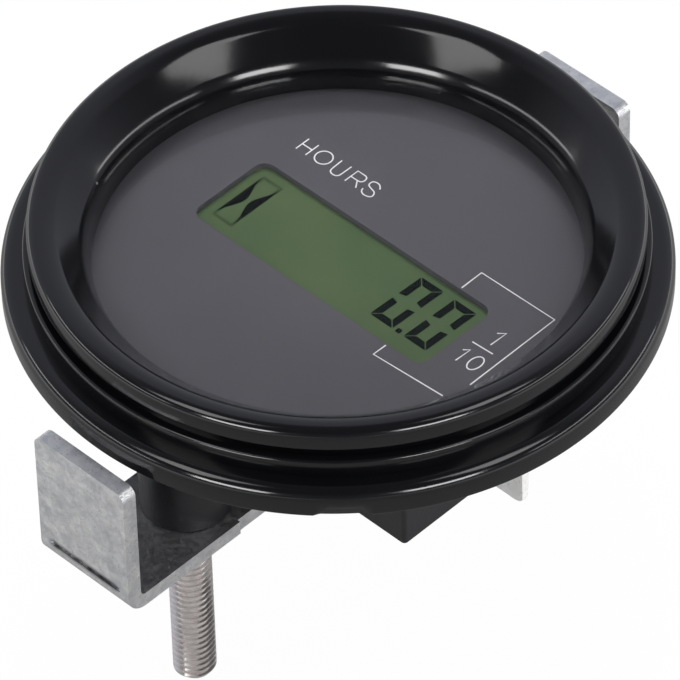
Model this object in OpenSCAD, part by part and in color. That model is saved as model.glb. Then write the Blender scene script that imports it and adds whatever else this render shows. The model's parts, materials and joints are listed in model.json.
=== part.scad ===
// Hour meter with a round bezel, a liquid crystal counter and a clamp bracket behind the panel.
// The origin is the centre of the flange's underside, the face that lies on the panel.
// +Z points out of the dial, +X to the display's right and +Y to the display's top.

/* [Bezel] */
// Outside diameter of the flange that lies on the panel
flange_d = 59.8; // [57:0.1:70]
// Thickness of the flange
flange_t = 2.8; // [2.2:0.1:4]
// Radius of the flange's outer top edge
flange_round = 1.2; // [0.4:0.1:1.6]
// Diameter of the step between the flange and the lip
step_d = 55.7; // [54:0.1:57]
// Height of the step above the flange
step_h = 1.8; // [0.8:0.05:2.5]
// Radius of the step's top edge
step_round = 0.3; // [0.1:0.05:0.6]
// Diameter at the bottom of the shadow groove under the lip
neck_d = 53.6; // [53:0.1:54.4]
// Height of the shadow groove
neck_h = 1; // [0.5:0.05:1.5]
// Outside diameter of the lip
lip_d = 54.8; // [54.5:0.1:58]
// Straight height of the lip's outer wall
lip_wall_h = 1.5; // [0.8:0.05:2.4]
// Radius of the lip's outer top edge
lip_round = 0.6; // [0.3:0.05:1]
// Radius of the broad rounding from the lip's top into the funnel
funnel_round = 3.2; // [2:0.1:3.8]
// Diameter at the top of the steep wall round the lens
well_d = 45.4; // [44.6:0.1:46.4]
// Height of the steep wall above the lens
well_wall_h = 2.9; // [2:0.1:3.4]
// Diameter of the sight opening over the lens
sight_d = 43.6; // [40:0.1:45]
// Height of the lens's face above the flange's underside
lens_face_z = 2; // [1.2:0.1:2.4]
// Diameter of the spigot that enters the panel's hole
spigot_d = 51.6; // [51.2:0.1:51.9]
// Depth of the spigot below the flange's underside
spigot_h = 4; // [3.2:0.1:4.6]
// Wall of the spigot
spigot_wall = 1.7; // [1.2:0.1:2]
// Width of the drain notch in the flange's underside
notch_w = 4.6; // [2:0.1:8]
// Depth of the drain notch
notch_h = 0.4; // [0.2:0.05:0.8]

/* [Lens and dial] */
// Thickness of the clear lens
lens_t = 1.6; // [0.8:0.1:2]
// Width of the lens's chamfered rims
lens_chamfer = 0.2; // [0.1:0.05:0.4]
// Thickness of the dial plate
dial_t = 0.6; // [0.3:0.1:1]
// Length of the display window along X
window_l = 28.3; // [22:0.1:30]
// Width of the display window along Y
window_w = 9.35; // [7:0.05:11]
// Corner radius of the display window
window_round = 1.2; // [0.4:0.1:2]
// Place of the window's centre along X
window_x = 0; // [-1:0.1:1]
// Place of the window's centre along Y
window_y = 0.4; // [-1:0.1:1]

/* [Display] */
// Thickness of each glass sheet of the display
glass_t = 0.7; // [0.4:0.1:1.1]
// Thickness of the polariser and of the reflector film
film_t = 0.2; // [0.1:0.05:0.4]
// Glass that runs past the window at each end
glass_end = 2.1; // [1:0.1:2.5]
// Glass that runs past the window at the top and at the bottom
glass_side = 2.8; // [2.4:0.1:3.5]
// Width of the contact ledge along the front glass's long edges
ledge_w = 1.8; // [1.4:0.1:2.2]
// Film that stays back from the edge of its glass
film_inset = 0.3; // [0.1:0.1:0.8]
// Height of the rubber contact strips
strip_h = 4.6; // [3.8:0.1:5.5]
// Wall of the display holder
holder_wall = 0.75; // [0.5:0.05:1]
// Width of the holder's ribs under the rear glass
rib_w = 0.8; // [0.5:0.05:1.2]

/* [Circuit board] */
// Thickness of the circuit board
board_t = 1.2; // [0.8:0.1:1.6]
// Board that runs past the holder at each end
board_end = 0.1; // [0:0.05:1]
// Board that runs past the holder at the top and at the bottom
board_side = 1; // [0.2:0.1:1.5]
// Room below the board for the cell and the power parts
board_room = 4.45; // [3:0.05:6]
// Body side of the controller chip
controller_l = 6.5; // [5:0.5:7]
// Body height of the controller chip
controller_h = 1.4; // [1:0.1:1.6]
// Body length of the memory chip
memory_l = 4.9; // [3:0.1:5]
// Body width of the memory chip
memory_w = 3.9; // [3:0.1:4]
// Body height of the memory chip
memory_h = 1.5; // [1:0.1:1.75]
// Place of the memory chip to the right of the display's centre
memory_x = 10; // [8:0.1:12]
// Diameter of the quartz crystal's can
crystal_d = 2; // [1.5:0.1:3]
// Length of the quartz crystal's can
crystal_l = 6; // [5:0.1:8]
// Place of the quartz crystal to the left of the display's centre
crystal_x = 10; // [9:0.1:11.5]
// Diameter of the coin cell
cell_d = 12.5; // [9.5:0.1:12.5]
// Height of the coin cell
cell_h = 2; // [1.2:0.1:2.5]
// Place of the coin cell's centre below the board's centre line
cell_drop = 1; // [0:0.1:1.5]
// Thickness of the coin cell's spring tabs
tab_t = 0.2; // [0.1:0.05:0.3]
// Width of the coin cell's spring tabs
tab_w = 3; // [2:0.1:5]
// Length, width and height of the bridge rectifier
rectifier = [4.7, 3.9, 2.4]; // [0.5:0.1:6.5]
// Length, width and height of the dropping resistor
resistor = [6.3, 3.2, 0.7]; // [0.5:0.1:6.5]
// Length, width and height of the buffer capacitor
capacitor = [6, 3.2, 2.5]; // [0.5:0.1:6.5]
// Place of the power parts out from the board's centre
power_x = 11.5; // [11:0.1:13]
// Place of the rectifier and the capacitor below the board's centre line
power_drop = 4.5; // [4:0.1:6]

/* [Rear case] */
// Wall of the rear case's box
case_wall = 1.3; // [1:0.1:2]
// Floor of the rear case's box
case_floor = 1.5; // [1:0.1:2.5]
// Radius of the box's upright edges
box_round = 0.4; // [0.2:0.1:2]
// Side of the posts that carry the circuit board
post_w = 2; // [1.5:0.1:2.4]
// Diameter of the bosses that hold the studs
boss_d = 8.4; // [7:0.1:9]
// Plate that stays outside each boss
boss_inset = 0.05; // [0:0.05:1]
// Height by which the bosses stand proud of the box
boss_proud = 0.9; // [0.4:0.1:2]
// Diameter of the seal ring's section
seal_d = 1.1; // [0.8:0.05:1.4]

/* [Terminals] */
// Width of the blade terminals
blade_w = 6.3; // [4.8:0.1:6.3]
// Thickness of the blade terminals
blade_t = 0.8; // [0.5:0.1:0.8]
// Length of the blades below the box
blade_out = 9.2; // [7:0.1:12]
// Radius of the blade's tip corners
blade_round = 1.2; // [0.5:0.1:1.5]
// Diameter of the latch hole in the blade
blade_hole_d = 1.8; // [1.2:0.1:2]
// Distance from the blade's tip to the middle of its latch hole
blade_hole_up = 4; // [3:0.1:5]
// Width of each solder leg of the blade
leg_w = 1.4; // [0.8:0.1:1.8]
// Length by which the solder legs end below the board's upper face
leg_short = 0.1; // [0.05:0.05:0.4]
// Gap between the blade's edge and the box's inside
blade_side_gap = 0.3; // [0.2:0.05:1]
// Place of the blades above the board's centre line
blade_y = 6; // [5.4:0.1:6.5]

/* [Studs] */
// Diameter of the studs over their threads
stud_d = 4; // [3:0.1:5]
// Length of the studs below the bosses
stud_out = 22.2; // [15:0.1:30]
// Diameter of the plain shank above the threads
shank_d = 3.5; // [2.6:0.1:4.4]
// Length of the plain shank below the bosses
shank_out = 1.9; // [0.5:0.1:4]
// Length of the studs moulded into the bosses
stud_in = 9; // [6:0.1:11]
// Diameter of the studs' moulded-in heads
stud_head_d = 6; // [5.4:0.1:6.6]
// Thickness of the studs' moulded-in heads
stud_head_t = 1.6; // [1:0.1:2.5]
// Chamfer of the studs' free ends
stud_chamfer = 0.5; // [0.2:0.1:0.8]

/* [Clamp bracket] */
// Width of the bracket's strip
bracket_w = 11; // [9:0.1:14]
// Thickness of the bracket's strip
bracket_t = 1.5; // [1:0.1:2]
// Height above the base of the arm below the display
arm_lower_h = 13.6; // [10:0.1:18]
// Height above the base of the arm above the display
arm_upper_h = 15.8; // [10:0.1:18]
// Gap between the flange's edge and the arms
arm_gap = 0.9; // [0.4:0.1:3]
// Inside radius of the bends
bend_r = 0.6; // [0.3:0.1:2]
// Radius of the arms' top corners
arm_round = 0.9; // [0.3:0.1:3]
// Width of the strip's narrower middle
waist_w = 10.4; // [8:0.1:14]
// Length of the strip's narrower middle
waist_l = 37; // [20:0.5:44]
// Height of the press mark above the bracket's underside
mark_up = 2.6; // [2.2:0.1:5]
// Length of the press mark
mark_l = 8.8; // [4:0.1:9]
// Depth of the press mark
mark_t = 0.2; // [0.1:0.05:0.4]
// Height of the press mark
mark_h = 0.5; // [0.3:0.1:1]

/* [Clearances] */
// Gap round pieces that drop into a bore or a pocket
fit_gap = 0.15; // [0.05:0.05:0.3]
// Gap above the display stack
stack_gap = 0.05; // [0:0.05:0.2]
// Gap between a moulded-in stud and its boss
insert_gap = 0.02; // [0:0.01:0.05]
// Gap between the seal ring and the walls that it meets
seal_gap = 0.05; // [0:0.05:0.15]
// Gap round the blades where they pass the case and the board
slot_gap = 0.1; // [0.05:0.05:0.3]
// Gap between a stud and the hole in the bracket
hole_gap = 0.3; // [0.2:0.05:0.6]
// Gap between the bosses and the bracket
bracket_gap = 0.1; // [0.05:0.05:0.5]

/* [Hidden] */
$fn = 64;
// Overlap of shapes that are cut from or fused to each other
cut = 0.5;

// Bezel, from the flange's underside upwards
flange_r = flange_d / 2;
step_top = flange_t + step_h;
neck_top = step_top + neck_h;
lip_wall_top = neck_top + lip_wall_h;
lip_top = lip_wall_top + lip_round;
crest_r = lip_d / 2 - lip_round;
well_r = well_d / 2;
well_wall_top = lens_face_z + well_wall_h;
sight_r = sight_d / 2;
spigot_r = spigot_d / 2;
bore_r = spigot_r - spigot_wall;
seat_r = bore_r - fit_gap;

// The funnel leaves the steep wall and runs on as a tangent to the broad rounding
round_z = lip_top - funnel_round;
funnel_run = crest_r - well_r;
funnel_rise = round_z - well_wall_top;
funnel_angle = atan2(funnel_rise, funnel_run) + asin(funnel_round / norm([funnel_run, funnel_rise]));
funnel_end = [crest_r - funnel_round * sin(funnel_angle), round_z + funnel_round * cos(funnel_angle)];

// Stack under the lens, from the top down
dial_top = lens_face_z - lens_t;
dial_bottom = dial_top - dial_t;
polariser_top = dial_bottom - stack_gap;
front_glass_top = polariser_top - film_t;
rear_glass_top = front_glass_top - glass_t;
reflector_top = rear_glass_top - glass_t;
reflector_bottom = reflector_top - film_t;
board_top = rear_glass_top - strip_h;
board_bottom = board_top - board_t;
floor_top = board_bottom - board_room;
case_bottom = floor_top - case_floor;
plate_bottom = -spigot_h;
boss_bottom = case_bottom - boss_proud;
base_top = boss_bottom - bracket_gap;
base_bottom = base_top - bracket_t;

// Display, round the window
glass_l = window_l + 2 * glass_end;
front_glass_w = window_w + 2 * glass_side;
rear_glass_w = front_glass_w - 2 * ledge_w;
strip_w = ledge_w - 2 * fit_gap;
strip_y = (rear_glass_w + ledge_w) / 2;
holder_in_l = glass_l + 2 * fit_gap;
holder_in_w = front_glass_w + 2 * fit_gap;
holder_l = holder_in_l + 2 * holder_wall;
holder_w = holder_in_w + 2 * holder_wall;

// Board and box, round the display
board_l = holder_l + 2 * (abs(window_x) + board_end);
board_w = holder_w + 2 * (abs(window_y) + board_side);
pocket_l = board_l + 2 * fit_gap;
pocket_w = board_w + 2 * fit_gap;
pocket_round = max(box_round - case_wall, 0.3);
box_l = pocket_l + 2 * case_wall;
box_w = pocket_w + 2 * case_wall;

// Seal, bosses and studs, inside the bore
seal_r = bore_r - seal_gap - seal_d / 2;
seal_z = (dial_bottom + plate_bottom) / 2;
stud_y = seat_r - boss_inset - boss_d / 2;
stud_r = stud_d / 2;
stud_top = boss_bottom + stud_in;
thread_top = boss_bottom - shank_out;
stud_end = boss_bottom - stud_out;

// Blades, beside the bracket
blade_x = pocket_l / 2 - blade_side_gap - blade_w / 2;
blade_tip = case_bottom - blade_out;
leg_x = blade_w / 2 - leg_w;

// Cell and its tabs, under the board
cell_top = board_bottom - tab_t;
cell_bottom = cell_top - cell_h;
tab_out = cell_d / 2 + tab_t;

// Bracket
arm_in = flange_r + arm_gap;
arm_out = arm_in + bracket_t;

// Leads of the chips
lead_t = 0.15;
lead_w = 0.35;
lead_reach = 1;
lead_pitch = 0.8;
memory_pitch = 1.27;

black = "#161618";
dial_grey = "#58585c";
display_green = "#62785a";
steel = "#b0aaa4";
zinc = "#b2b4b8";
tin = "#dcdcd8";
board_green = "#1f5a38";

// Rectangle with round corners, centred
module rounded_rect(l, w, r) {
    square([l - 2 * r, w], center = true);
    square([l, w - 2 * r], center = true);
    for (x = [-1, 1], y = [-1, 1])
        translate([x * (l / 2 - r), y * (w / 2 - r)]) circle(r);
}

// Upright slab with round corners between two heights
module slab(l, w, r, z0, z1) {
    translate([0, 0, z0]) linear_extrude(z1 - z0) rounded_rect(l, w, r);
}

// Upright block between two heights, centred in X and Y
module block(l, w, z0, z1) {
    translate([-l / 2, -w / 2, z0]) cube([l, w, z1 - z0]);
}

// Half section of a disc whose outer top edge is round
module round_topped(r, z0, z1, edge) {
    translate([0, z0]) square([r, z1 - z0 - edge]);
    translate([0, z0]) square([r - edge, z1 - z0]);
    translate([r - edge, z1 - edge]) circle(edge);
}

// Half section of the bezel: flange, step, groove, lip, funnel, lens seat and spigot
module bezel_section() {
    difference() {
        union() {
            translate([0, plate_bottom]) square([spigot_r, spigot_h + cut]);
            round_topped(flange_r, 0, flange_t, flange_round);
            round_topped(step_d / 2, 0, step_top, step_round);
            square([neck_d / 2, neck_top + cut]);
            round_topped(lip_d / 2, neck_top, lip_top, lip_round);
        }
        difference() {
            polygon([
                [0, lens_face_z - cut],
                [sight_r, lens_face_z - cut],
                [sight_r, lens_face_z],
                [well_r, well_wall_top],
                funnel_end,
                [crest_r, round_z],
                [crest_r, lip_top + cut],
                [0, lip_top + cut]
            ]);
            translate([crest_r, round_z]) circle(funnel_round);
        }
        translate([0, plate_bottom - cut]) square([bore_r, spigot_h + cut + lens_face_z]);
    }
}

module front_bezel() {
    color(black) difference() {
        rotate_extrude() bezel_section();
        rotate(-45) translate([spigot_r, -notch_w / 2, -cut])
            cube([flange_r, notch_w, cut + notch_h]);
    }
}

module lens() {
    color("white", 0.3) rotate_extrude() polygon([
        [0, dial_top],
        [seat_r - lens_chamfer, dial_top],
        [seat_r, dial_top + lens_chamfer],
        [seat_r, lens_face_z - lens_chamfer],
        [seat_r - lens_chamfer, lens_face_z],
        [0, lens_face_z]
    ]);
}

module dial_plate() {
    color(dial_grey) difference() {
        translate([0, 0, dial_bottom]) cylinder(r = seat_r, h = dial_t);
        translate([window_x, window_y, 0])
            slab(window_l, window_w, window_round, dial_bottom - cut, dial_top + cut);
    }
}

// One flat sheet of the display, centred on the window
module display_sheet(l, w, top, t) {
    translate([window_x, window_y, 0]) block(l, w, top - t, top);
}

module lcd_polariser() {
    color(display_green)
        display_sheet(glass_l - 2 * film_inset, rear_glass_w - 2 * film_inset, polariser_top, film_t);
}

module lcd_front_glass() {
    color("honeydew", 0.5) display_sheet(glass_l, front_glass_w, front_glass_top, glass_t);
}

module lcd_rear_glass() {
    color("honeydew", 0.5) display_sheet(glass_l, rear_glass_w, rear_glass_top, glass_t);
}

module lcd_reflector() {
    color("silver")
        display_sheet(glass_l - 2 * film_inset, rear_glass_w - 2 * film_inset, reflector_top, film_t);
}

// Frame round the display, with a rib under each long edge of the rear glass
module lcd_holder() {
    color("whitesmoke") translate([window_x, window_y, 0]) {
        difference() {
            block(holder_l, holder_w, board_top, dial_bottom);
            block(holder_in_l, holder_in_w, board_top - cut, dial_bottom + cut);
        }
        for (s = [-1, 1])
            translate([0, s * (rear_glass_w - rib_w) / 2, 0])
                block(holder_in_l + holder_wall, rib_w, board_top, reflector_bottom);
    }
}

module contact_strip(side) {
    color("dimgray") translate([window_x, window_y + side * strip_y, 0])
        block(glass_l - 2 * film_inset, strip_w, board_top, rear_glass_top);
}

module contact_strip_upper() { contact_strip(1); }

module contact_strip_lower() { contact_strip(-1); }

module circuit_board() {
    color(board_green) difference() {
        block(board_l, board_w, board_bottom, board_top);
        for (s = [-1, 1], leg = [-1, 1])
            translate([s * blade_x + leg * (leg_x + leg_w / 2), blade_y, 0])
                block(leg_w + 2 * slot_gap, blade_t + 2 * slot_gap, board_bottom - cut, board_top + cut);
    }
}

// One bent lead: a foot on the board and a riser to the middle of the chip's body
module chip_lead(h) {
    rotate([90, 0, 0]) linear_extrude(lead_w, center = true) polygon([
        [-lead_t, h / 2 - lead_t],
        [lead_reach / 2 - lead_t, h / 2 - lead_t],
        [lead_reach / 2 - lead_t, 0],
        [lead_reach, 0],
        [lead_reach, lead_t],
        [lead_reach / 2, lead_t],
        [lead_reach / 2, h / 2],
        [-lead_t, h / 2]
    ]);
}

// Row of leads along a chip's side that faces +X
module lead_row(count, pitch, h) {
    for (i = [0 : count - 1])
        translate([0, (i - (count - 1) / 2) * pitch, 0]) chip_lead(h);
}

module controller_chip() {
    count = floor((controller_l - lead_pitch) / lead_pitch);
    color("#202022") translate([window_x, window_y, board_top]) {
        block(controller_l, controller_l, lead_t, controller_h);
        for (turn = [0 : 90 : 270])
            rotate(turn) translate([controller_l / 2, 0, 0]) lead_row(count, lead_pitch, controller_h);
    }
}

module memory_chip() {
    count = floor(memory_l / memory_pitch) + 1;
    color("#202022") translate([window_x + memory_x, window_y, board_top]) {
        block(memory_w, memory_l, lead_t, memory_h);
        for (turn = [0, 180])
            rotate(turn) translate([memory_w / 2, 0, 0]) lead_row(count, memory_pitch, memory_h);
    }
}

// Watch crystal lying on the board, with a rim at its lead end
module quartz_crystal() {
    rim_t = 0.4;
    rim = 0.15;
    color("silver") translate([window_x - crystal_x, window_y, board_top + crystal_d / 2 + rim])
        rotate([0, 90, 0]) {
            translate([0, 0, -crystal_l / 2]) cylinder(d = crystal_d, h = crystal_l);
            translate([0, 0, crystal_l / 2 - rim_t]) cylinder(d = crystal_d + 2 * rim, h = rim_t);
        }
}

module coin_cell() {
    rim = 0.5;
    color("silver") translate([0, -cell_drop, 0]) {
        translate([0, 0, cell_bottom + rim]) cylinder(d = cell_d, h = cell_h - rim);
        translate([0, 0, cell_bottom]) cylinder(d = cell_d - 2 * rim, h = cell_h);
    }
}

module cell_tab_positive() {
    color(tin) translate([0, -cell_drop, 0]) block(tab_w, cell_d, cell_top, board_bottom);
}

// Strip under the cell that turns up past its edge to the board
module cell_tab_negative() {
    color(tin) translate([-tab_w / 2, -cell_drop - tab_out - tab_t, cell_bottom - tab_t]) {
        cube([tab_w, tab_out + cell_d / 4, tab_t]);
        cube([tab_w, tab_t, board_bottom - cell_bottom + tab_t]);
    }
}

// Power part hanging under the board: a moulded body with a solder cap on each end
module end_capped(size, cap) {
    block(size[0] - 2 * cap, size[1], board_bottom - size[2], board_bottom);
    for (s = [-1, 1])
        translate([s * (size[0] - cap) / 2, 0, 0])
            block(cap, size[1] * 0.8, board_bottom - size[2] * 0.9, board_bottom);
}

module bridge_rectifier() {
    color("#202022") translate([-power_x, -power_drop, 0]) end_capped(rectifier, 0.5);
}

module buffer_capacitor() {
    color("goldenrod") translate([power_x, -power_drop, 0]) end_capped(capacitor, 0.4);
}

module dropping_resistor() {
    color("#202022") translate([power_x, 0, 0]) end_capped(resistor, 0.6);
}

module rear_case() {
    color(black) {
        difference() {
            union() {
                translate([0, 0, plate_bottom]) cylinder(r = seat_r, h = dial_bottom - plate_bottom);
                slab(box_l, box_w, box_round, case_bottom, plate_bottom + cut);
                for (s = [-1, 1])
                    translate([0, s * stud_y, boss_bottom])
                        cylinder(d = boss_d, h = plate_bottom + cut - boss_bottom);
            }
            slab(pocket_l, pocket_w, pocket_round, floor_top, dial_bottom + cut);
            seal_groove();
            for (s = [-1, 1]) {
                translate([0, s * stud_y, 0]) stud_anchor(insert_gap, boss_bottom - cut);
                translate([s * blade_x, blade_y, 0])
                    block(blade_w + 2 * slot_gap, blade_t + 2 * slot_gap, case_bottom - cut, floor_top + cut);
            }
        }
        for (x = [-1, 1], y = [-1, 1])
            translate([x * (pocket_l - post_w + cut) / 2, y * (pocket_w - post_w + cut) / 2, 0])
                block(post_w + cut, post_w + cut, floor_top - cut, board_bottom);
    }
}

// Groove in the plate's rim for the seal ring
module seal_groove() {
    groove_r = seal_r - seal_d / 2 - seal_gap;
    groove_h = seal_d + 2 * seal_gap;
    translate([0, 0, seal_z - groove_h / 2]) rotate_extrude()
        translate([groove_r, 0]) square([seat_r - groove_r + cut, groove_h]);
}

module case_seal() {
    color("#2a2a2a") translate([0, 0, seal_z]) rotate_extrude()
        translate([seal_r, 0]) circle(d = seal_d);
}

// Shank and head of a moulded-in stud down to a given height, grown by a gap
module stud_anchor(gap, z_end) {
    translate([0, 0, z_end]) cylinder(d = shank_d + 2 * gap, h = stud_top - z_end);
    translate([0, 0, stud_top - stud_head_t - gap])
        cylinder(d = stud_head_d + 2 * gap, h = stud_head_t + 2 * gap);
}

module stud(side) {
    color(steel) translate([0, side * stud_y, 0]) {
        stud_anchor(0, thread_top - cut);
        translate([0, 0, stud_end + stud_chamfer])
            cylinder(r = stud_r, h = thread_top - stud_end - stud_chamfer);
        translate([0, 0, stud_end])
            cylinder(r1 = stud_r - stud_chamfer, r2 = stud_r, h = stud_chamfer);
    }
}

module stud_upper() { stud(1); }

module stud_lower() { stud(-1); }

// Face of a blade: round tip corners, a latch hole and two solder legs
module blade_face() {
    difference() {
        union() {
            translate([-blade_w / 2, blade_tip + blade_round])
                square([blade_w, board_bottom - blade_tip - blade_round]);
            translate([-blade_w / 2 + blade_round, blade_tip])
                square([blade_w - 2 * blade_round, blade_round + cut]);
            for (s = [-1, 1])
                translate([s * (blade_w / 2 - blade_round), blade_tip + blade_round]) circle(blade_round);
            for (s = [-1, 1])
                translate([s * (leg_x + leg_w / 2) - leg_w / 2, board_bottom - cut])
                    square([leg_w, board_t - leg_short + cut]);
        }
        translate([0, blade_tip + blade_hole_up]) circle(d = blade_hole_d);
    }
}

// Edge view of a blade, thinned at the tip so that a socket slides on
module blade_edge() {
    lead_in = 1.2;
    tip_t = blade_t / 2;
    polygon([
        [-tip_t / 2, blade_tip],
        [tip_t / 2, blade_tip],
        [blade_t / 2, blade_tip + lead_in],
        [blade_t / 2, board_top - leg_short],
        [-blade_t / 2, board_top - leg_short],
        [-blade_t / 2, blade_tip + lead_in]
    ]);
}

module blade(side) {
    color(tin) translate([side * blade_x, blade_y, 0]) intersection() {
        rotate([90, 0, 0]) linear_extrude(blade_t, center = true) blade_face();
        rotate([90, 0, 90]) linear_extrude(blade_w, center = true) blade_edge();
    }
}

module terminal_left() { blade(-1); }

module terminal_right() { blade(1); }

// Upright half-open outline with round lower corners
module trough(half, z0, z1, r) {
    translate([-half, z0 + r]) square([2 * half, z1 - z0 - r]);
    translate([-half + r, z0]) square([2 * (half - r), r + cut]);
    for (s = [-1, 1])
        translate([s * (half - r), z0 + r]) circle(r);
}

// Half of the folded strip: the base from its middle outwards, and one arm
module bracket_half(side, h) {
    reach = h + bracket_t + 2 * arm_round;
    intersection() {
        rotate([90, 0, 90]) linear_extrude(bracket_w, center = true) difference() {
            trough(arm_out, base_bottom, base_top + h, bend_r + bracket_t);
            trough(arm_in, base_top, base_top + h + cut, bend_r);
        }
        translate([0, side * arm_out / 2, base_top + h - reach / 2]) rotate([90, 0, 0])
            linear_extrude(arm_out + 2 * cut, center = true) rounded_rect(bracket_w, reach, arm_round);
    }
}

// Strip of sheet steel folded up at both ends, narrower between its stud holes
module clamp_bracket() {
    color(zinc) difference() {
        union() {
            bracket_half(-1, arm_lower_h);
            bracket_half(1, arm_upper_h);
        }
        for (s = [-1, 1]) {
            translate([s * (waist_w + bracket_w) / 2, 0, 0])
                block(bracket_w, waist_l, base_bottom - cut, base_top + cut);
            translate([0, s * stud_y, base_bottom - cut])
                cylinder(r = stud_r + hole_gap, h = bracket_t + 2 * cut);
            translate([-mark_l / 2, s * arm_out - mark_t, base_bottom + mark_up - mark_h / 2])
                cube([mark_l, 2 * mark_t, mark_h]);
        }
    }
}

front_bezel();
lens();
dial_plate();
lcd_polariser();
lcd_front_glass();
lcd_rear_glass();
lcd_reflector();
lcd_holder();
contact_strip_upper();
contact_strip_lower();
circuit_board();
controller_chip();
memory_chip();
quartz_crystal();
coin_cell();
cell_tab_positive();
cell_tab_negative();
bridge_rectifier();
dropping_resistor();
buffer_capacitor();
rear_case();
case_seal();
terminal_left();
terminal_right();
stud_upper();
stud_lower();
clamp_bracket();
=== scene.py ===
# %% [markdown]
# # A panel hour meter in a photo studio
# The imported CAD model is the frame: every solid already sits where it belongs, in metres, with the
# origin in the middle of the flange's underside and +Z out of the dial. Blender adds what CAD leaves
# out: turned surfaces fine enough to reflect, screw threads, print, the digits and all the finishes.

# %% Load the frame
import json
import math
import bpy
import bmesh
from mathutils import Matrix, Vector


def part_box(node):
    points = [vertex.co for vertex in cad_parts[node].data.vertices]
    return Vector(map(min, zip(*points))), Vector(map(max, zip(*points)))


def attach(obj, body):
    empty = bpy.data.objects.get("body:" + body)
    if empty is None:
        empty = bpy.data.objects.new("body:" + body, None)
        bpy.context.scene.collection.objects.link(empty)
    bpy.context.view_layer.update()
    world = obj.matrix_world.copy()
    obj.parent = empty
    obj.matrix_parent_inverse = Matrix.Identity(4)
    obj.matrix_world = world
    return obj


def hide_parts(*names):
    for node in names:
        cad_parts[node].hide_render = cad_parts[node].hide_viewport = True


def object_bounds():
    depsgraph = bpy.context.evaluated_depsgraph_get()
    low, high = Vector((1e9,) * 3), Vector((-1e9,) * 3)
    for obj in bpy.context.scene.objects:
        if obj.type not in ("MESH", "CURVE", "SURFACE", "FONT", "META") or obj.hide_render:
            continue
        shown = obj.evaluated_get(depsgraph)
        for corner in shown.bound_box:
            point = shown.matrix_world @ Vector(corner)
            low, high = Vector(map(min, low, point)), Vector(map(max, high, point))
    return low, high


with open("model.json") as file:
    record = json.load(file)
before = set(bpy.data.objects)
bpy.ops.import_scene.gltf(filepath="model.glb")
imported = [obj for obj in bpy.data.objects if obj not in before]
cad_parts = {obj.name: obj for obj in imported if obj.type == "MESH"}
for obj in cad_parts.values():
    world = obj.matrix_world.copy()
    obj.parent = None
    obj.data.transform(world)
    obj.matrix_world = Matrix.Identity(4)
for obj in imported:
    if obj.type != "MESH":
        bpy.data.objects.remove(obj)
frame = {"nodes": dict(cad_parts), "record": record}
cad_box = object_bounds()
MM = 0.001
print("CAD box in mm:", [[round(c / MM, 2) for c in corner] for corner in cad_box])

# %% [markdown]
# ## Camera
# The photo looks down at 45 degrees onto the lower right of the dial through a very long lens, so the
# round flange is almost a pure ellipse. The camera could be aimed with a constraint, but a matrix made
# of its own three directions gives the small roll and the off-centre framing in one step.

# %% Camera
IMAGE_PX = 680
FOCAL_PX = 7000.0
ORIGIN_PX = (338.2, 272.7)
PX_PER_MM = 11.27
azimuth, elevation, roll = (math.radians(d) for d in (45.3, 45.0, -1.6))


def toward(bearing, height):
    flat = math.cos(height)
    return Vector((math.sin(bearing) * flat, -math.cos(bearing) * flat, math.sin(height)))


back = toward(azimuth, elevation)
level = Vector((math.cos(azimuth), math.sin(azimuth), 0))
right = level * math.cos(roll) + back.cross(level) * math.sin(roll)
up = back.cross(right)
aside = (ORIGIN_PX[0] - IMAGE_PX / 2) / PX_PER_MM
above = (IMAGE_PX / 2 - ORIGIN_PX[1]) / PX_PER_MM
eye = back * (FOCAL_PX / PX_PER_MM) - right * aside - up * above

camera_data = bpy.data.cameras.new("photo_camera")
camera_data.sensor_width = 36
camera_data.lens = FOCAL_PX * camera_data.sensor_width / IMAGE_PX
camera_data.clip_end = 50
camera = bpy.data.objects.new("photo_camera", camera_data)
bpy.context.collection.objects.link(camera)
camera.matrix_world = Matrix.Translation(eye * MM) @ Matrix((right, up, back)).transposed().to_4x4()
bpy.context.scene.camera = camera
print("camera at", [round(c, 3) for c in camera.location], "lens", round(camera_data.lens, 1), "mm")

# %% [markdown]
# ## Helpers for node trees
# Every finish below is a small node tree. Nodes could be added and linked one line at a time, which is
# long to read. Here one helper feeds a socket with a number or with another node's output, and the rest
# build on it, so that a tree reads as a list of what it is made of.

# %% Node helpers
def feed(tree, value, socket):
    if isinstance(value, bpy.types.NodeSocket):
        tree.links.new(value, socket)
    else:
        socket.default_value = value


def add(tree, kind, sockets=None, **settings):
    made = tree.nodes.new(kind)
    for name, value in settings.items():
        setattr(made, name, value)
    for name, value in (sockets or {}).items():
        feed(tree, value, made.inputs[name])
    return made


def calc(tree, operation, *terms):
    return add(tree, "ShaderNodeMath", dict(enumerate(terms)), operation=operation).outputs[0]


def ramp(tree, value, span, ends, kind="LINEAR"):
    sockets = {"Value": value, "From Min": span[0], "From Max": span[1], "To Min": ends[0], "To Max": ends[1]}
    return add(tree, "ShaderNodeMapRange", sockets, interpolation_type=kind).outputs[0]


def blend(tree, share, first, second, kind):
    sockets = {"Factor": share, "A": first, "B": second}
    return add(tree, "ShaderNodeMix", sockets, data_type=kind).outputs["Result"]


def along(tree, spot, direction):
    made = add(tree, "ShaderNodeVectorMath", {0: spot, 1: direction}, operation="DOT_PRODUCT")
    return made.outputs["Value"]


print("node helpers ready")

# %% [markdown]
# ## Studio
# The meter was shot on white paper under a dim ceiling: the paper behind it is bright, the room overhead
# is not, and that is what draws the dark and pale bands on the black plastic. The world could hold a
# picture of a studio, but ramps do the same: one over the height of a direction on the paper's side, a
# darker one on the room's side, and a soft change between them. Only reflections see these ramps. The
# camera sees plain white, and everything else gets an even fill.

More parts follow.
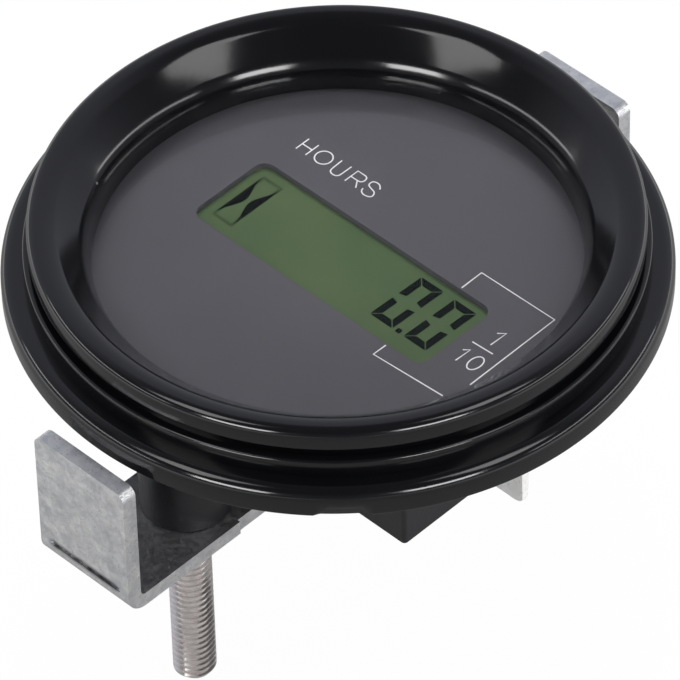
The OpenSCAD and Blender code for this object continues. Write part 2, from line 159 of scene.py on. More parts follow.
# %% World
scene = bpy.context.scene
scene.view_settings.view_transform = "Standard"
world = bpy.data.worlds.new("studio")
scene.world = world
world.use_nodes = True
tree = world.node_tree
tree.nodes.clear()

aim = add(tree, "ShaderNodeTexCoord").outputs["Generated"]
height = add(tree, "ShaderNodeSeparateXYZ", {0: aim}).outputs["Z"]
paper_side = ramp(tree, along(tree, aim, toward(azimuth, 0)), (-0.55, 0.2), (1.0, 0.0), "SMOOTHSTEP")
paper = ramp(tree, height, (0.78, 0.95), (0.52, 0.13), "SMOOTHSTEP")
room = ramp(tree, height, (0.0, 0.65), (0.26, 0.08))
mirrored = blend(tree, paper_side, room, paper, "FLOAT")


def backdrop(colour, strength):
    return add(tree, "ShaderNodeBackground", {"Color": (*colour, 1), "Strength": strength}).outputs[0]


ray = add(tree, "ShaderNodeLightPath").outputs
seen = calc(tree, "MAXIMUM", ray["Is Camera Ray"], ray["Is Transmission Ray"])
fill = backdrop((1, 1, 1), 0.32)
white = backdrop((1, 1, 1), 1.0)
plain = add(tree, "ShaderNodeMixShader", {0: seen, 1: fill, 2: white}).outputs[0]
studio = {0: ray["Is Glossy Ray"], 1: plain, 2: backdrop((0.93, 0.95, 1.06), mirrored)}
add(tree, "ShaderNodeOutputWorld", {"Surface": add(tree, "ShaderNodeMixShader", studio).outputs[0]})
print("world nodes:", len(tree.nodes))

# %% [markdown]
# The floor is a wide sheet just under the studs' ends. A plain white diffuse floor would turn grey away
# from the lamps, so rays from the camera see mostly an even white, with a little of the lit surface mixed
# in for a soft shadow. What the bezel and the bracket mirror is another matter: close to the meter the
# paper lies in its shade, and it grows bright to the left and right, so reflections see a ramp instead.

# %% Floor sheet
FLOOR_DROP = 0.1 * MM
bm = bmesh.new()
bmesh.ops.create_grid(bm, x_segments=1, y_segments=1, size=3.0)
bmesh.ops.translate(bm, verts=bm.verts, vec=(0, 0, cad_box[0][2] - FLOOR_DROP))
floor_mesh = bpy.data.meshes.new("floor")
bm.to_mesh(floor_mesh)
bm.free()
floor = bpy.data.objects.new("floor", floor_mesh)
bpy.context.collection.objects.link(floor)
print("floor at z =", round(floor_mesh.vertices[0].co.z / MM, 2), "mm")

# %% Floor finish
EVEN_SEEN, EVEN_MIRRORED = 0.98, 0.85
floor_white = bpy.data.materials.new("floor_white")
floor_white.use_nodes = True
floor_mesh.materials.append(floor_white)
tree = floor_white.node_tree
tree.nodes.clear()

ray = add(tree, "ShaderNodeLightPath").outputs
spot = add(tree, "ShaderNodeTexCoord").outputs["Object"]
pool = ramp(tree, calc(tree, "ABSOLUTE", along(tree, spot, level)), (0.06, 0.32), (0.28, 1.8))
glow = blend(tree, ray["Is Glossy Ray"], 1.0, pool, "FLOAT")
even = add(tree, "ShaderNodeEmission", {"Color": (1, 1, 1, 1), "Strength": glow}).outputs[0]
lit = add(tree, "ShaderNodeBsdfDiffuse", {"Color": (0.86, 0.86, 0.86, 1)}).outputs[0]
seen = calc(tree, "MAXIMUM", ray["Is Camera Ray"], ray["Is Transmission Ray"])
share = calc(tree, "MAXIMUM", calc(tree, "MULTIPLY", seen, EVEN_SEEN),
             calc(tree, "MULTIPLY", ray["Is Glossy Ray"], EVEN_MIRRORED))
sheet = add(tree, "ShaderNodeMixShader", {0: share, 1: lit, 2: even}).outputs[0]
add(tree, "ShaderNodeOutputMaterial", {"Surface": sheet})
print("floor nodes:", len(tree.nodes))

# %% [markdown]
# ## Lamps
# Pairs of lamps stand left and right of the camera and draw the paired streaks along each rounded edge
# of the bezel: soft boxes above, smaller lamps low in front, and long strips at the sides. The low lamps
# give no diffuse light, because the near lip would then shade half of the dial. A soft box behind and a
# small lamp for the blade only brighten what they shine on, so reflections don't show them. Area lamps
# are placed by bearing and height, so that a lamp can be moved until its streak falls where the photo
# has it.

# %% Lamps
def soft_box(name, bearing, height, away, size, watts):
    lamp = bpy.data.lights.new(name, "AREA")
    lamp.shape = "RECTANGLE"
    lamp.size, lamp.size_y = size
    lamp.energy = watts
    spot = toward(azimuth + math.radians(bearing), math.radians(height)) * away
    made = bpy.data.objects.new(name, lamp)
    made.matrix_world = Matrix.Translation(spot) @ spot.to_track_quat("Z", "Y").to_matrix().to_4x4()
    bpy.context.collection.objects.link(made)
    return made


for side, bearing in (("left", -62), ("right", 62)):
    soft_box(side + "_soft_box", bearing, 55, 0.9, (0.30, 0.40), 1.4)
for side, bearing in (("left", -34), ("right", 29)):
    soft_box(side + "_lamp", bearing, 20, 1.2, (0.45, 0.25), 5.0).visible_diffuse = False
for side, bearing in (("left", -85), ("right", 85)):
    soft_box(side + "_strip", bearing, 18, 1.2, (1.2, 0.12), 2.2)
back_box = soft_box("back_soft_box", 180, 60, 0.9, (0.50, 0.35), 5.0)
blade_lamp = soft_box("blade_lamp", 75, 0, 0.6, (0.2, 0.2), 2.0)
for unseen in (back_box, blade_lamp):
    unseen.visible_glossy = False
    unseen.visible_transmission = False

# %% [markdown]
# ## Shared effects
# Moulded plastic, rolled steel and plated sheet are all a little uneven, each at its own scale. The two
# effects that they share are node groups: a cloudy mottle, and fine specks of dust or pits. Each finish
# places them with its own values.

# %% Mottle
def effect(name, inputs, output):
    group = bpy.data.node_groups.new(name, "ShaderNodeTree")
    for label, value in inputs.items():
        socket = group.interface.new_socket(label, in_out="INPUT", socket_type="NodeSocketFloat")
        socket.default_value = value
    group.interface.new_socket(output, in_out="OUTPUT", socket_type="NodeSocketFloat")
    spot = add(group, "ShaderNodeTexCoord").outputs["Object"]
    return group, add(group, "NodeGroupInput").outputs, spot


mottle, given, spot = effect("Mottle", {"Scale": 400.0, "Low": 0.0, "High": 1.0}, "Value")
cloud = {"Vector": spot, "Scale": given["Scale"], "Detail": 4.0, "Roughness": 0.6}
noise = add(mottle, "ShaderNodeTexNoise", cloud).outputs[0]
spread = ramp(mottle, noise, (0.3, 0.7), (given["Low"], given["High"]))
add(mottle, "NodeGroupOutput", {"Value": spread})
print("mottle nodes:", len(mottle.nodes))

# %% [markdown]
# Specks are dots at the middle of Voronoi cells. Each cell has a random colour, and only the cells with
# enough red in it keep their dot, so the specks don't sit in an even pattern.

# %% Specks
RED_TO_KEEP = 0.7
specks, given, spot = effect("Specks", {"Scale": 900.0, "Cover": 0.1}, "Mask")
cells = add(specks, "ShaderNodeTexVoronoi", {"Vector": spot, "Scale": given["Scale"]}).outputs
dot = calc(specks, "LESS_THAN", cells["Distance"], given["Cover"])
red = add(specks, "ShaderNodeSeparateColor", {0: cells["Color"]}).outputs["Red"]
kept = calc(specks, "GREATER_THAN", red, RED_TO_KEEP)
add(specks, "NodeGroupOutput", {"Mask": calc(specks, "MULTIPLY", dot, kept)})
print("effects:", [g.name for g in bpy.data.node_groups])

# %% [markdown]
# ## Building a finish
# A finish is a Principled shader with its constants on its own sockets, a tint between two tones, a
# roughness that wanders and a slight relief. These helpers hold the steps that all finishes share.

# %% Finish helpers
finishes = {}


def start_finish(name, **sockets):
    finishes[name] = bpy.data.materials.new(name)
    finishes[name].use_nodes = True
    tree = finishes[name].node_tree
    shader = tree.nodes["Principled BSDF"]
    for label, value in sockets.items():
        shader.inputs[label.replace("_", " ")].default_value = value
    return tree, shader


def place(tree, group, **values):
    return add(tree, "ShaderNodeGroup", values, node_tree=group).outputs[0]


def tint(tree, share, dark, light, shader):
    feed(tree, blend(tree, share, (*dark, 1), (*light, 1), "RGBA"), shader.inputs["Base Color"])


def overlay(tree, mask, colour):
    base = tree.nodes["Principled BSDF"].inputs["Base Color"]
    under = base.links[0].from_socket
    feed(tree, blend(tree, mask, under, (*colour, 1), "RGBA"), base)


def relief(tree, height, depth, shader):
    bump = add(tree, "ShaderNodeBump", {"Height": height, "Strength": 1.0, "Distance": depth * MM})
    feed(tree, bump.outputs["Normal"], shader.inputs["Normal"])


print("finish helpers ready")

# %% [markdown]
# ## Plastics
# The bezel is glossy black ABS with the faint ripple of a moulded face. The rear case comes from a
# spark-eroded mould, so it is duller and finely pitted. Rubber, chips, the board's lacquer, the display's
# film and the print differ only in their values, so one function makes them all. What lies under the
# lens hardly shines, because the lens already carries the reflection.

# %% Plastics
TONE_SCALE, GLOSS_SCALE = 90.0, 260.0


def moulded(name, dark, light, rough, grain, depth, shine=0.5):
    tree, shader = start_finish(name, IOR=1.5, Specular_IOR_Level=shine)
    tint(tree, place(tree, mottle, Scale=TONE_SCALE), dark, light, shader)
    gloss = place(tree, mottle, Scale=GLOSS_SCALE, Low=rough[0], High=rough[1])
    feed(tree, gloss, shader.inputs["Roughness"])
    relief(tree, place(tree, mottle, Scale=grain), depth, shader)


moulded("bezel_black", (0.0042, 0.0044, 0.0055), (0.0055, 0.0057, 0.0070), (0.10, 0.15), 350.0, 0.002)
moulded("case_black", (0.010, 0.010, 0.012), (0.015, 0.015, 0.018), (0.35, 0.45), 2600.0, 0.01)
moulded("holder_white", (0.72, 0.72, 0.69), (0.80, 0.80, 0.78), (0.4, 0.5), 1500.0, 0.01)
moulded("contact_rubber", (0.03, 0.03, 0.03), (0.06, 0.06, 0.06), (0.6, 0.75), 2200.0, 0.02)
moulded("seal_rubber", (0.015, 0.015, 0.015), (0.03, 0.03, 0.03), (0.5, 0.65), 2200.0, 0.01)
moulded("chip_black", (0.02, 0.02, 0.02), (0.04, 0.04, 0.04), (0.5, 0.6), 3000.0, 0.01)
moulded("capacitor_tan", (0.50, 0.30, 0.05), (0.60, 0.38, 0.08), (0.3, 0.4), 2000.0, 0.01)
moulded("board_green", (0.01, 0.10, 0.04), (0.02, 0.15, 0.07), (0.25, 0.35), 1200.0, 0.01)
moulded("dial_grey", (0.068, 0.067, 0.076), (0.072, 0.071, 0.080), (0.6, 0.7), 2400.0, 0.0005, 0.05)
moulded("display_green", (0.049, 0.083, 0.039), (0.068, 0.098, 0.048), (0.45, 0.55), 900.0, 0.002, 0.05)
moulded("segment_black", (0.0005, 0.0015, 0.0012), (0.001, 0.003, 0.002), (0.5, 0.6), 900.0, 0.001, 0.02)
moulded("frame_line", (0.030, 0.052, 0.022), (0.040, 0.064, 0.030), (0.5, 0.6), 900.0, 0.001, 0.05)
moulded("print_white", (0.58, 0.58, 0.59), (0.66, 0.66, 0.67), (0.5, 0.6), 3000.0, 0.001, 0.05)
print("plastics:", len(finishes))

# %% [markdown]
# Black gloss shows every grain of dust. Tiny spheres would be far too many, so the dust is the speck
# effect, laid over the bezel's colour with a few small dots.

# %% Dust on the bezel
tree = finishes["bezel_black"].node_tree
overlay(tree, place(tree, specks, Scale=260.0, Cover=0.035), (0.16, 0.16, 0.165))
print("bezel finish nodes:", len(tree.nodes))

# %% [markdown]
# ## Metals
# The bracket is zinc-plated strip: bright, and mottled by the crystals of the zinc. The studs are rolled
# steel with a warm tone, and the blades are brass under dull, pale tin, its colour pushed near white as a
# painted reflection of the white paper. Roughness and relief could each have a pattern of their own, but
# on metal they go together, so both take the same mottle.

# %% Metals
def metal(name, dark, light, rough, scale, depth, metallic=1.0):
    tree, shader = start_finish(name, Metallic=metallic)
    tint(tree, place(tree, mottle, Scale=scale), dark, light, shader)
    gloss = place(tree, mottle, Scale=scale * 3, Low=rough[0], High=rough[1])
    feed(tree, gloss, shader.inputs["Roughness"])
    relief(tree, gloss, depth, shader)


metal("bracket_zinc", (0.70, 0.71, 0.74), (1.0, 1.0, 1.0), (0.30, 0.5), 760.0, 0.03)
metal("stud_steel", (0.84, 0.785, 0.765), (1.0, 0.95, 0.935), (0.12, 0.2), 900.0, 0.004, 0.85)
# painted reflection: the blades' near-white tin colour stands in for the white paper they mirror
metal("tinned_brass", (0.95, 0.95, 0.94), (0.98, 0.98, 0.97), (0.25, 0.35), 800.0, 0.004, 0.1)
metal("can_steel", (0.58, 0.58, 0.58), (0.68, 0.68, 0.68), (0.2, 0.3), 600.0, 0.003)
metal("reflector_film", (0.70, 0.71, 0.71), (0.78, 0.79, 0.79), (0.3, 0.4), 900.0, 0.002)
print("plastics and metals:", len(finishes))

# %% [markdown]
# Zinc leaves pits between its crystals, and the crease that the press left across each arm is darkened by
# painted shade. A texture painted by hand could show both. Here the pits are the speck effect again, and the
# painted crease shade is a box round the mark's place, with one soft band for each axis.

# %% Pits and painted crease shade on the bracket
MARK_UP, MARK_HALF, SKIN = 2.6 * MM, 4.4 * MM, 0.3 * MM
bracket_low, bracket_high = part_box("clamp_bracket")
arm_face = bracket_high[1]
tree = finishes["bracket_zinc"].node_tree
overlay(tree, place(tree, specks, Scale=2900.0, Cover=0.26), (0.68, 0.69, 0.71))

spot = add(tree, "ShaderNodeTexCoord").outputs["Object"]
axes = add(tree, "ShaderNodeSeparateXYZ", {0: spot}).outputs
bands = {
    "X": (0.0, MARK_HALF - 0.6 * MM, MARK_HALF),
    "Y": (0.0, arm_face - SKIN, arm_face - 2 * SKIN),
    "Z": (bracket_low[2] + MARK_UP, 0.2 * MM, 0.65 * MM),
}
# painted shade: a mottled dark band along the press mark on each arm's outer face
crease_shade = place(tree, mottle, Scale=900.0, Low=0.55, High=1.0)
for axis, (middle, full, none) in bands.items():
    off = calc(tree, "ABSOLUTE", calc(tree, "SUBTRACT", axes[axis], middle))
    crease_shade = calc(tree, "MULTIPLY", ramp(tree, off, (full, none), (1.0, 0.0)), crease_shade)
overlay(tree, crease_shade, (0.06, 0.06, 0.065))
print("bracket finish nodes:", len(tree.nodes))

# %% [markdown]
# ## Clear parts
# The lens is polished acrylic and the display sheets are glass. Both use transmission at full weight. The
# photo was lit so that the lens hardly shows, and a black specular tint tones its reflection down to
# match, so that the digits stay black.

# %% Clear finishes
def clear(name, colour, ior, rough):
    tree, shader = start_finish(name, IOR=ior, Transmission_Weight=1.0, Base_Color=(*colour, 1),
                                Specular_Tint=(0, 0, 0, 1))
    haze = place(tree, mottle, Scale=500.0, Low=rough[0], High=rough[1])
    feed(tree, haze, shader.inputs["Roughness"])


clear("clear_lens", (1.0, 1.0, 1.0), 1.49, (0.0, 0.02))
clear("display_glass", (0.93, 0.97, 0.94), 1.52, (0.0, 0.01))
print("finishes in all:", len(finishes))

# %% [markdown]
# ## Carried-over solids
# Most solids are right as CAD made them, so they only take the finish of their slot in the record.

# %% Dress the solids
def dress(obj, finish):
    obj.data.materials.clear()
    obj.data.materials.append(finishes[finish])


for entry in frame["record"]["subparts"]:
    dress(frame["nodes"][entry["node"]], entry["material_slot"])
print("solids dressed:", len(frame["nodes"]))

# %% [markdown]
# ## New pieces
# Each new piece ends in the same way: its mesh is shaded smooth except at sharp corners, it is dressed,
# it rides on a body of the part, and it may take the place of a solid. Finishes that the record doesn't
# list, such as the print's, have no slot to name.


def settle(bm, name, body, solid, slot, sharp=35):
    mesh = bpy.data.meshes.new(name)
    bm.to_mesh(mesh)
    bm.free()
    mesh.polygons.foreach_set("use_smooth", [True] * len(mesh.polygons))
    mesh.set_sharp_from_angle(angle=math.radians(sharp))
    made = bpy.data.objects.new(name, mesh)
    bpy.context.collection.objects.link(made)
    dress(made, slot)
    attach(made, body)
    if solid:
        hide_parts(solid)
    print(name, "faces:", len(mesh.polygons))
    return made


# %% [markdown]
# ## Bezel
# The bezel is turned: one section, spun round the dial's axis. CAD's own triangles are too coarse to
# carry a streak of light, so the section is drawn again with few corners, its corners are rounded by a
# vertex bevel, and it is spun in fine steps. A corner that turns by an angle t needs a bevel of
# radius x tan(t / 2) to come out with that radius.

# %% Turned pieces
CORNER_STEPS = 10


def round_corner(bm, corner, before, after, radius):
    turn = (corner.co - before).angle(after - corner.co)
    bmesh.ops.bevel(bm, geom=[corner], offset=radius * MM * math.tan(turn / 2), offset_type="OFFSET",
                    affect="VERTICES", segments=CORNER_STEPS, profile=0.5, material=-1)


def turned(name, corners, steps, body, solid, slot):
    bm = bmesh.new()
    section = [bm.verts.new((r * MM, 0, z * MM)) for r, z, _ in corners]
    bm.faces.new(section)
    spots = [v.co.copy() for v in section]
    for i, (_, _, radius) in enumerate(corners):
        if radius:
            round_corner(bm, section[i], spots[i - 1], spots[(i + 1) % len(spots)], radius)
    bmesh.ops.delete(bm, geom=list(bm.faces), context="FACES_ONLY")
    bmesh.ops.spin(bm, geom=bm.verts[:] + bm.edges[:], cent=(0, 0, 0), axis=(0, 0, 1), dvec=(0, 0, 0),
                   angle=math.tau, steps=steps, use_merge=True)
    bmesh.ops.remove_doubles(bm, verts=bm.verts, dist=0.00001 * MM)
    bmesh.ops.recalc_face_normals(bm, faces=bm.faces)
    return settle(bm, name, body, solid, slot)


print("turned pieces get", CORNER_STEPS, "steps on each round corner")

# %% [markdown]
# The section runs outwards under the flange, up over its rounded edge, the step, the shadow groove and
# the lip, down the funnel to the lens, and back along the spigot. Each corner is a radius, a height and
# the rounding it gets, in millimetres.

# %% Bezel
bezel_corners = [
    (25.8, 0, 0), (29.9, 0, 0.2), (29.9, 2.8, 1.2), (27.85, 2.8, 0), (27.85, 4.6, 0.3),
    (26.8, 4.6, 0), (26.8, 5.6, 0), (27.4, 5.6, 0.12), (27.4, 7.7, 0.95), (25.4, 7.7, 2.4),
    (21.8, 4.36, 3.2), (21.8, 2.0, 0), (24.1, 2.0, 0), (24.1, -4.0, 0.2), (25.8, -4.0, 0.3),
]
bezel = turned("bezel_shell", bezel_corners, 288, "meter", "front_bezel", "bezel_black")

# %% [markdown]
# The flange's underside has a shallow drain notch at the corner that faces the camera. The ring is fine
# enough to lift the few points inside the notch, which is simpler than cutting it out.

# %% Drain notch
NOTCH_AT = Vector((1, -1, 0)).normalized()
NOTCH_FROM, NOTCH_HALF, NOTCH_DEEP = 25.9 * MM, 2.3 * MM, 0.4 * MM
HAIR = 0.01 * MM
lifted = 0
for v in bezel.data.vertices:
    out = v.co.dot(NOTCH_AT)
    across = (v.co - NOTCH_AT * out).to_2d().length
    if -HAIR < v.co.z < NOTCH_DEEP and out > NOTCH_FROM and across < NOTCH_HALF:
        v.co.z = NOTCH_DEEP
        lifted += 1
print("notch points lifted:", lifted)

# %% [markdown]
# ## Lens
# A flat disc under the bezel's shoulder. It is turned from its own section, with its underside a hair
# above the dial so that the two faces don't lie in one plane. A lens that casts shadows would leave the
# dial in the dark, since lamps don't shine through it in a path tracer without a lot of noise, so its
# shadow is switched off.

# %% Lens
LENS_LIFT, LENS_EDGE = 0.06, 0.15
lens_low, lens_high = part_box("lens")
lens_r, lens_bottom, lens_top = lens_high[0] / MM, lens_low[2] / MM + LENS_LIFT, lens_high[2] / MM
lens_corners = [(0.0, lens_bottom, 0), (lens_r, lens_bottom, LENS_EDGE), (lens_r, lens_top, LENS_EDGE),
                (0.0, lens_top, 0)]
lens = turned("lens_disc", lens_corners, 160, "meter", "lens", "clear_lens")
lens.visible_shadow = False

# %% [markdown]
# ## Print on the dial
# The white print is lines of one width: the word HOURS, the fraction for tenths and the box that ties
# the fraction to the last digit. Fonts have strokes of their own weight, so each sign is drawn as a
# curve with a round bevel, made a mesh, and pressed flat onto the dial. All print and all digits are
# placed in millimetres from the display's centre, so that they follow the window if it moves.

# %% Strokes
film_low, film_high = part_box("lcd_polariser")
WINDOW_X = (film_low[0] + film_high[0]) / 2 / MM
WINDOW_Y = (film_low[1] + film_high[1]) / 2 / MM
DIAL_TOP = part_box("dial_plate")[1][2] / MM
PRESSED = 0.1


def draw(curve, kind, points):
    line = curve.splines.new("POLY" if kind == "line" else "NURBS")
    line.points.add(len(points) - 1)
    for spot, (x, y) in zip(line.points, points):
        spot.co = ((WINDOW_X + x) * MM, (WINDOW_Y + y) * MM, 0, 1)
    line.use_cyclic_u = kind == "loop"
    if kind != "line":
        line.order_u = 3
        line.use_endpoint_u = kind == "curve"
        line.resolution_u = 6


def strokes(name, paths, width):
    curve = bpy.data.curves.new(name, "CURVE")
    curve.dimensions = "3D"
    curve.bevel_depth = width / 2 * MM
    curve.bevel_resolution = 2
    curve.use_fill_caps = True
    for kind, points in paths:
        draw(curve, kind, points)
    holder = bpy.data.objects.new(name, curve)
    bpy.context.collection.objects.link(holder)
    bpy.context.view_layer.update()
    bm = bmesh.new()
    bm.from_mesh(holder.to_mesh())
    holder.to_mesh_clear()
    bpy.data.objects.remove(holder)
    for v in bm.verts:
        v.co.z = DIAL_TOP * MM + v.co.z * PRESSED
    bmesh.ops.remove_doubles(bm, verts=bm.verts, dist=0.0001 * MM)
    bmesh.ops.recalc_face_normals(bm, faces=bm.faces)
    return settle(bm, name, "meter", None, "print_white")


print("print lies at z =", round(DIAL_TOP, 2), "mm")

# %% [markdown]
# The word could be set with a font, but the photo's letters are plain strokes: straight lines, open
# curves and one closed loop. A smooth curve runs inside its points, so the loop's points stand a little
# further out than the letter.

# %% The word HOURS
LOOP_POINTS, LOOP_SWELL = 12, 1.03


def oval(x, y, width, height):
    wide, tall = width / 2 * LOOP_SWELL, height / 2 * LOOP_SWELL
    turns = [k * math.tau / LOOP_POINTS for k in range(LOOP_POINTS)]
    return [(x + wide * math.cos(t), y + tall * math.sin(t)) for t in turns]


BASE, CAP, BOW = 7.64, 9.35, 8.42
MID = (BASE + CAP) / 2
CUP = BASE - 0.15
letter_h = [
    ("line", [(-13.1, BASE), (-13.1, CAP)]),
    ("line", [(-11.88, BASE), (-11.88, CAP)]),
    ("line", [(-13.1, MID), (-11.88, MID)]),
]
letter_o = [("loop", oval(-10.42, MID, 1.68, CAP - BASE))]
letter_u = [("curve", [(-8.95, CAP), (-8.92, MID), (-8.85, CUP), (-7.8, CUP), (-7.77, MID), (-7.77, CAP)])]
letter_r = [
    ("line", [(-6.96, BASE), (-6.96, CAP), (-6.1, CAP)]),
    ("curve", [(-6.15, CAP), (-5.65, CAP), (-5.65, BOW), (-6.15, BOW)]),
    ("line", [(-6.96, BOW), (-6.15, BOW), (-5.6, BASE)]),
]
letter_s = [("curve", [(-3.86, 8.95), (-4.18, 9.45), (-5.05, 9.38), (-5.08, 8.7), (-4.55, 8.52),
                       (-3.9, 8.38), (-3.68, 7.7), (-4.5, 7.42), (-5.05, 7.75), (-5.07, 8.05)])]
strokes("hours_print", letter_h + letter_o + letter_u + letter_r + letter_s, 0.13)

# %% [markdown]
# The box and the fraction say that the last digit counts tenths of an hour. They are straight strokes,
# apart from the round nought of the ten.

# %% Tenths box and fraction
box_lines = [
    ("line", [(10.09, 4.87), (10.07, 7.45), (18.8, 7.54), (18.87, -3.34)]),
    ("line", [(18.06, -5.93), (10.12, -6.38), (10.15, -4.83)]),
]
strokes("tenths_box", box_lines, 0.14)
fraction = [
    ("line", [(16.26, 2.87), (16.88, 3.42), (16.82, 1.43)]),
    ("line", [(15.38, 0.64), (17.74, 0.75)]),
    ("line", [(15.46, -0.64), (15.96, -0.2), (15.88, -2.02)]),
    ("loop", oval(17.4, -1.1, 1.15, 1.86)),
]
strokes("tenths_fraction", fraction, 0.13)

# %% [markdown]
# ## Display
# The counter's dark marks lie in the liquid crystal, just under the polariser's face. They could be
# painted by the film's finish, but shapes keep their edges crisp. Each mark is a flat face a hair above
# the film, so that the film doesn't hide it, softened at its corners and given a little thickness.

# %% Marks in the display
MARK_LIFT, MARK_THICK = 0.004, 0.012
MARK_Z = film_high[2] / MM + MARK_LIFT


def marks(name, shapes, slot, soften):
    bm = bmesh.new()
    for shape in shapes:
        spots = [((WINDOW_X + x) * MM, (WINDOW_Y + y) * MM, MARK_Z * MM) for x, y in shape]
        bm.faces.new([bm.verts.new(spot) for spot in spots])
    bmesh.ops.recalc_face_normals(bm, faces=bm.faces)
    if soften:
        bmesh.ops.bevel(bm, geom=bm.verts[:], offset=soften * MM, offset_type="OFFSET", affect="VERTICES",
                        segments=4, profile=0.5, material=-1)
    skin = bmesh.ops.extrude_face_region(bm, geom=bm.faces[:])
    raised = [g for g in skin["geom"] if isinstance(g, bmesh.types.BMVert)]
    bmesh.ops.translate(bm, verts=raised, vec=(0, 0, MARK_THICK * MM))
    bmesh.ops.recalc_face_normals(bm, faces=bm.faces)
    return settle(bm, name, "meter", None, slot)


def bar(left, low, right, high):
    return [(left, low), (right, low), (right, high), (left, high)]


print("marks lie at z =", round(MARK_Z, 3), "mm")

# %% [markdown]
# A nought is six segments: one across the top, one across the bottom and two on each side. They meet in
# mitred corners with a hair's gap, and the whole figure leans a little. The two upper and the two lower
# segments mirror each other, so one loop makes both halves.

# %% Digits
SEGMENT_W, SEGMENT_GAP = 0.76, 0.07
WAIST_GAP, WAIST_SLANT, LEAN = 0.36, 0.2, 0.03


def zero(left, right, low, high):
    w, gap, middle = SEGMENT_W, SEGMENT_GAP, (low + high) / 2
    shapes = []
    for edge, sign in ((high, -1), (low, 1)):
        inner, near = edge + sign * w, middle - sign * WAIST_GAP
        shapes.append([(left + gap, edge), (right - gap, edge),
                       (right - w - gap, inner), (left + w + gap, inner)])
        for x, inside in ((left, left + w), (right, right - w)):
            shapes.append([(x, edge + sign * gap), (inside, inner + sign * gap),
                           (inside, near - sign * WAIST_SLANT), (x, near)])
    return [[(x + LEAN * (y - middle), y) for x, y in shape] for shape in shapes]


decimal_point = bar(8.99, -2.57, 9.53, -2.03)
digits = zero(10.08, 12.76, -2.5, 3.86) + zero(6.0, 8.74, -2.5, 3.9) + [decimal_point]
marks("counter_digits", digits, "segment_black", 0.08)

# %% [markdown]
# The running sign is an hourglass: a thin frame with a dark wedge on each long side, and the green that
# is left between them makes the glass.

# %% Hourglass
LEFT, RIGHT, LOW, HIGH, LINE = -13.14, -10.69, -3.05, 3.58, 0.32
frame_bars = [bar(LEFT, LOW, RIGHT, LOW + LINE), bar(LEFT, HIGH - LINE, RIGHT, HIGH)]
for x in (LEFT, RIGHT - LINE):
    frame_bars.append(bar(x, LOW + LINE, x + LINE, HIGH - LINE))
marks("hourglass_frame", frame_bars, "frame_line", 0)

WEDGE_IN = 0.05
waist = (LOW + HIGH) / 2
upper = [(0.88, 0.45), (0.62, 1.1), (0.22, 2.0), (0, 3.0)]
flank = [(d, -y) for d, y in reversed(upper)] + [(0.94, 0)] + upper
wedges = [[(LEFT + WEDGE_IN + d, waist + y) for d, y in flank],
          [(RIGHT - WEDGE_IN - d, waist + y) for d, y in flank]]
marks("hourglass_wedges", wedges, "segment_black", 0.12)

# %% [markdown]
# ## Studs
# The studs carry a rolled M4 thread. A thread is a screw: the profile of one turn, swept round the axis
# while it climbs by one pitch a turn. A bump could fake it, but its outline would stay straight. Spin
# does the real thing with its dvec, and welding the turns closes the surface.

# %% Thread
PITCH, MAJOR, MINOR, TURN_STEPS = 0.7, 2.0, 1.57, 40
THREAD_LENGTH, TIP_CHAMFER = 20.3, 0.5
stud_low, stud_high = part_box("stud_lower")
STUD_Y = -(stud_low[1] + stud_high[1]) / 2 / MM
STUD_END, STUD_TOP = stud_low[2] / MM, stud_high[2] / MM
THREAD_TOP = STUD_END + THREAD_LENGTH


def chain(bm, outline):
    points = [bm.verts.new((r * MM, 0, z * MM)) for r, z in outline]
    return points + [bm.edges.new(pair) for pair in zip(points, points[1:])]


def roll_thread(bm):
    turns = math.ceil((THREAD_TOP - STUD_END) / PITCH) + 2
    profile = [(MINOR, 0), (MINOR, 0.12), (MAJOR, 0.36), (MAJOR, 0.46), (MINOR, PITCH)]
    start = chain(bm, [(r, STUD_END - PITCH * 1.5 + z) for r, z in profile])
    bmesh.ops.spin(bm, geom=start, cent=(0, 0, 0), axis=(0, 0, 1), dvec=(0, 0, PITCH * MM / TURN_STEPS),
                   angle=math.tau * turns, steps=TURN_STEPS * turns, use_merge=False)
    bmesh.ops.remove_doubles(bm, verts=bm.verts, dist=0.002 * MM)


print("thread from", round(STUD_END, 2), "to", round(THREAD_TOP, 2), "mm")

# %% [markdown]
# The thread starts and ends past the stud, so both ends are cut square by a plane and closed. The tip is
# then turned down to a chamfer: no point may stand out further than the cone allows.

# %% Ends of the thread
ON_PLANE = 1e-7


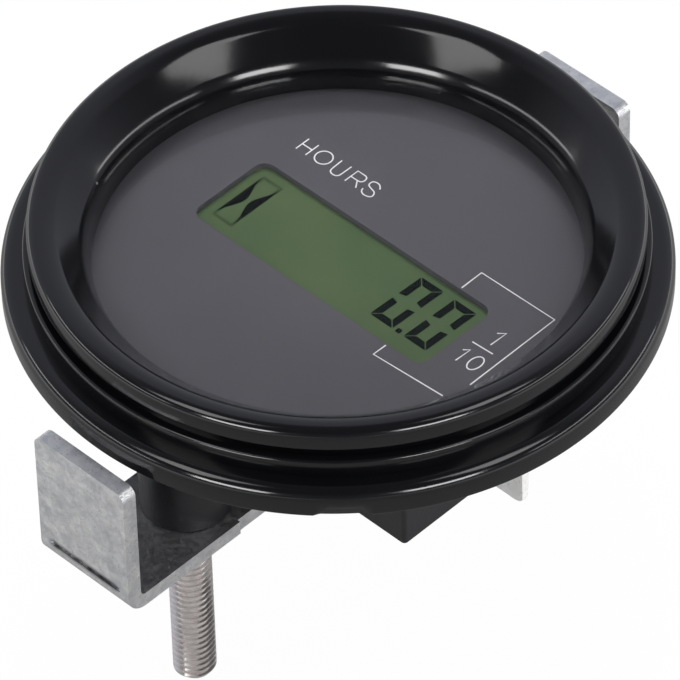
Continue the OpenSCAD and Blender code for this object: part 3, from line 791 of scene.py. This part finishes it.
def square_end(bm, z, normal):
    everything = bm.verts[:] + bm.edges[:] + bm.faces[:]
    bmesh.ops.bisect_plane(bm, geom=everything, plane_co=(0, 0, z * MM), plane_no=normal, clear_outer=True)
    rim = [e for e in bm.edges if e.is_boundary and all(abs(v.co.z - z * MM) < ON_PLANE for v in e.verts)]
    bmesh.ops.edgeloop_fill(bm, edges=rim)


def chamfer_tip(bm):
    for v in bm.verts:
        limit = (MAJOR - TIP_CHAMFER) * MM + (v.co.z - STUD_END * MM)
        reach = v.co.to_2d().length
        if reach > limit:
            v.co.xy *= limit / reach


print("tip chamfer:", TIP_CHAMFER, "mm")

# %% [markdown]
# Above the thread a plain shank runs into the boss and ends in the moulded-in head. It is turned, and
# it starts a little inside the thread so that no gap shows.

# %% Threaded studs
SHANK_R, SHANK_LAP, SHANK_STEPS = 1.75, 0.3, 48
HEAD_R, HEAD_T = (stud_high[0] - stud_low[0]) / 2 / MM, 1.6
SHANK_LOW, HEAD_LOW = THREAD_TOP - SHANK_LAP, STUD_TOP - HEAD_T


def turn_shank(bm):
    outline = chain(bm, [(0, SHANK_LOW), (SHANK_R, SHANK_LOW), (SHANK_R, HEAD_LOW), (HEAD_R, HEAD_LOW),
                         (HEAD_R, STUD_TOP), (0, STUD_TOP)])
    bmesh.ops.spin(bm, geom=outline, cent=(0, 0, 0), axis=(0, 0, 1), dvec=(0, 0, 0), angle=math.tau,
                   steps=SHANK_STEPS, use_merge=True)
    bmesh.ops.remove_doubles(bm, verts=bm.verts, dist=0.0005 * MM)


def threaded(name, y, solid):
    bm = bmesh.new()
    roll_thread(bm)
    square_end(bm, STUD_END, (0, 0, -1))
    square_end(bm, THREAD_TOP, (0, 0, 1))
    chamfer_tip(bm)
    turn_shank(bm)
    bmesh.ops.recalc_face_normals(bm, faces=bm.faces)
    bmesh.ops.translate(bm, verts=bm.verts, vec=(0, y * MM, 0))
    return settle(bm, name, "meter", solid, "stud_steel", sharp=50)


threaded("stud_thread_lower", -STUD_Y, "stud_lower")
threaded("stud_thread_upper", STUD_Y, "stud_upper")
